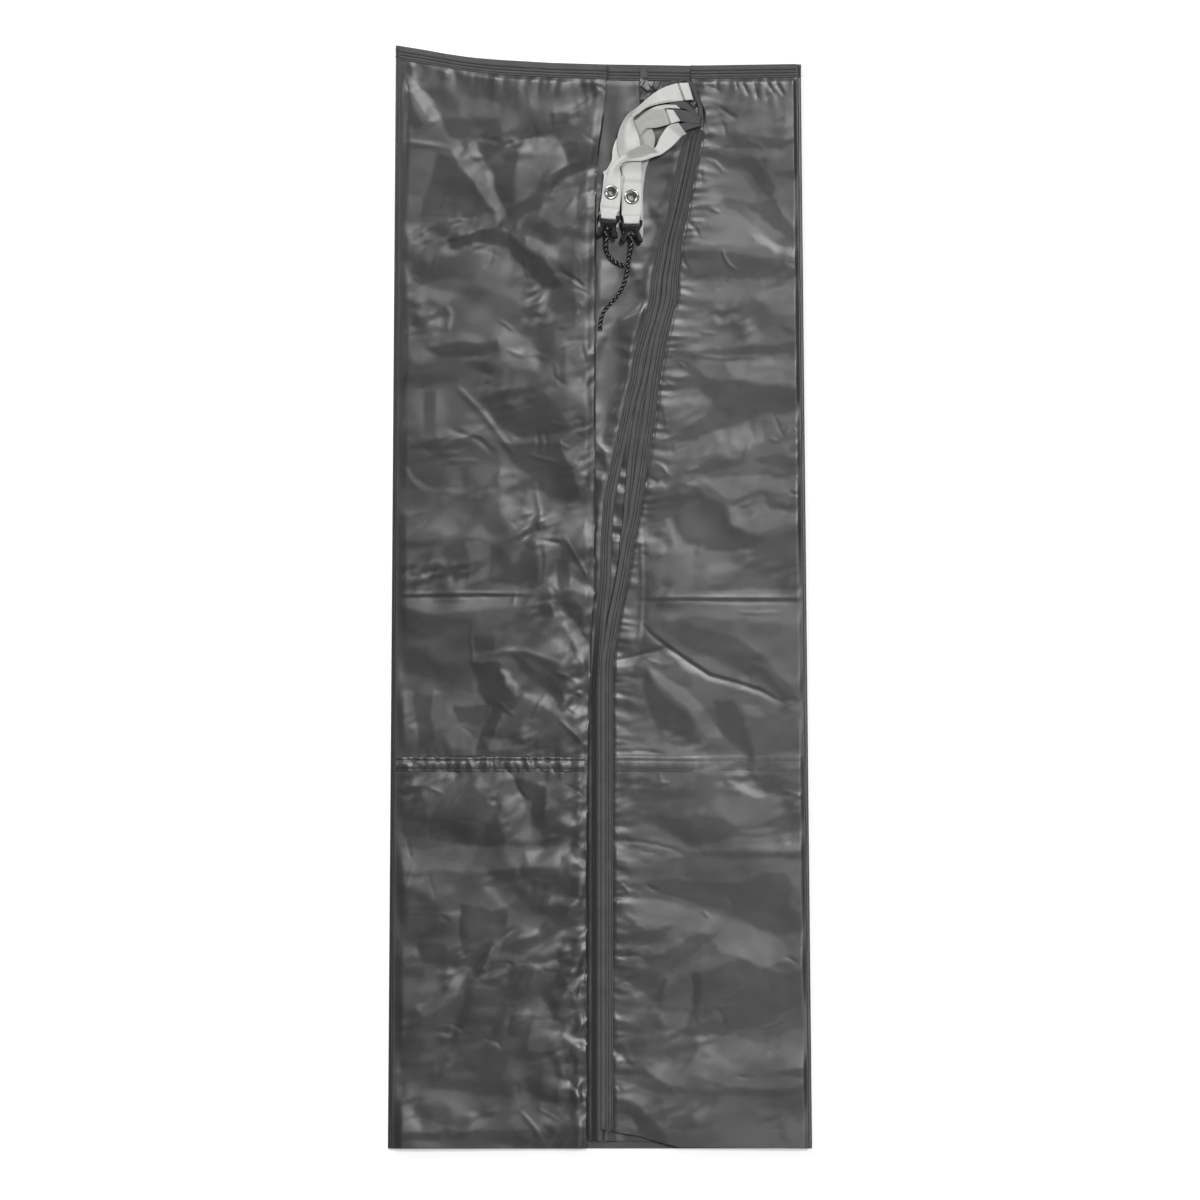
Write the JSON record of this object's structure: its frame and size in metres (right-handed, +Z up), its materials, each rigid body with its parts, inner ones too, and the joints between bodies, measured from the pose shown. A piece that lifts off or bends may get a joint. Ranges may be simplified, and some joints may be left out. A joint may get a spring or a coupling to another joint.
{
  "type": "folded tent ground sheet",
  "caption": "Tent ground sheet folded flat: bound edges, side flaps that open, and gathered webbing corner straps with metal eyelets, plastic cord hooks and cords.",
  "frame": {"origin": "centre of the footprint of the folded sheet, on the surface that it lies on", "axes": "+Y along the sheet towards its top end with the strap corner, +X across to the right seen from above, +Z up out of the sheet"},
  "size_m": [0.423, 1.1, 0.0187],
  "materials": {
    "cloth": "dark grey coated ripstop, satin",
    "binding_tape": "dark grey ribbed tape, matt",
    "webbing": "light silver-grey woven webbing",
    "eyelet_metal": "bright nickel plate",
    "hook_plastic": "black moulded plastic, semi-gloss",
    "cord": "black braided cord with white tracer flecks"
  },
  "bodies": {
    "core": {"back_upper_cloth": "cloth", "back_lower_cloth": "cloth", "back_seam": "cloth", "back_top_binding": "binding_tape", "inner_left_upper_cloth": "cloth", "inner_left_lower_cloth": "cloth", "inner_left_top_binding": "binding_tape", "inner_left_edge_binding": "binding_tape", "inner_right_upper_cloth": "cloth", "inner_right_lower_cloth": "cloth", "inner_right_top_binding": "binding_tape", "inner_right_edge_binding": "binding_tape", "corner_patch": "cloth", "corner_top_binding": "binding_tape"},
    "left_flap": {"left_flap_upper_cloth": "cloth", "left_flap_lower_cloth": "cloth", "left_flap_top_binding": "binding_tape", "left_flap_seam": "cloth"},
    "right_flap": {"right_flap_upper_cloth": "cloth", "right_flap_lower_cloth": "cloth", "right_flap_top_binding": "binding_tape", "right_flap_edge_binding": "binding_tape", "right_flap_seam": "cloth"},
    "strap_bundle": {"strap_tab_1": "binding_tape", "strap_tab_2": "binding_tape", "strap_tab_3": "binding_tape", "strap_tab_4": "binding_tape", "strap_1": "webbing", "strap_2": "webbing", "strap_3": "webbing", "strap_4": "webbing", "eyelet_1": "eyelet_metal", "eyelet_2": "eyelet_metal", "eyelet_3": "eyelet_metal", "eyelet_4": "eyelet_metal", "eyelet_washer_1": "eyelet_metal", "eyelet_washer_2": "eyelet_metal", "eyelet_washer_3": "eyelet_metal", "eyelet_washer_4": "eyelet_metal"},
    "right_hook": {"cord_hook_1": "hook_plastic", "cord_hitch_1": "cord", "cord_1": "cord"},
    "left_hook": {"cord_hook_2": "hook_plastic", "cord_hitch_2": "cord", "cord_2": "cord"}
  },
  "joints": [
    {"name": "left_flap_fold", "type": "hinge", "parent": "core", "child": "left_flap", "pos_m": [-0.2035, 0, 0.00585], "axis": [-0.0073, -1, 0], "range_deg": [0, 180]},
    {"name": "right_flap_fold", "type": "hinge", "parent": "core", "child": "right_flap", "pos_m": [0.20175, 0, 0.00585], "axis": [-0.0105, 0.9999, 0], "range_deg": [0, 180]},
    {"name": "strap_bundle_lift", "type": "hinge", "parent": "core", "child": "strap_bundle", "pos_m": [0.1025, 0.472, 0.012], "axis": [0, 1, 0], "range_deg": [0, 120]},
    {"name": "right_hook_pivot", "type": "hinge", "parent": "strap_bundle", "child": "right_hook", "pos_m": [0.0315, 0.3737, 0.0131], "axis": [-1, 0, 0], "range_deg": [0, 105]},
    {"name": "left_hook_pivot", "type": "hinge", "parent": "strap_bundle", "child": "left_hook", "pos_m": [0.009, 0.3785, 0.0137], "axis": [-0.9458, 0.0994, -0.309], "range_deg": [0, 105]}
  ]
}
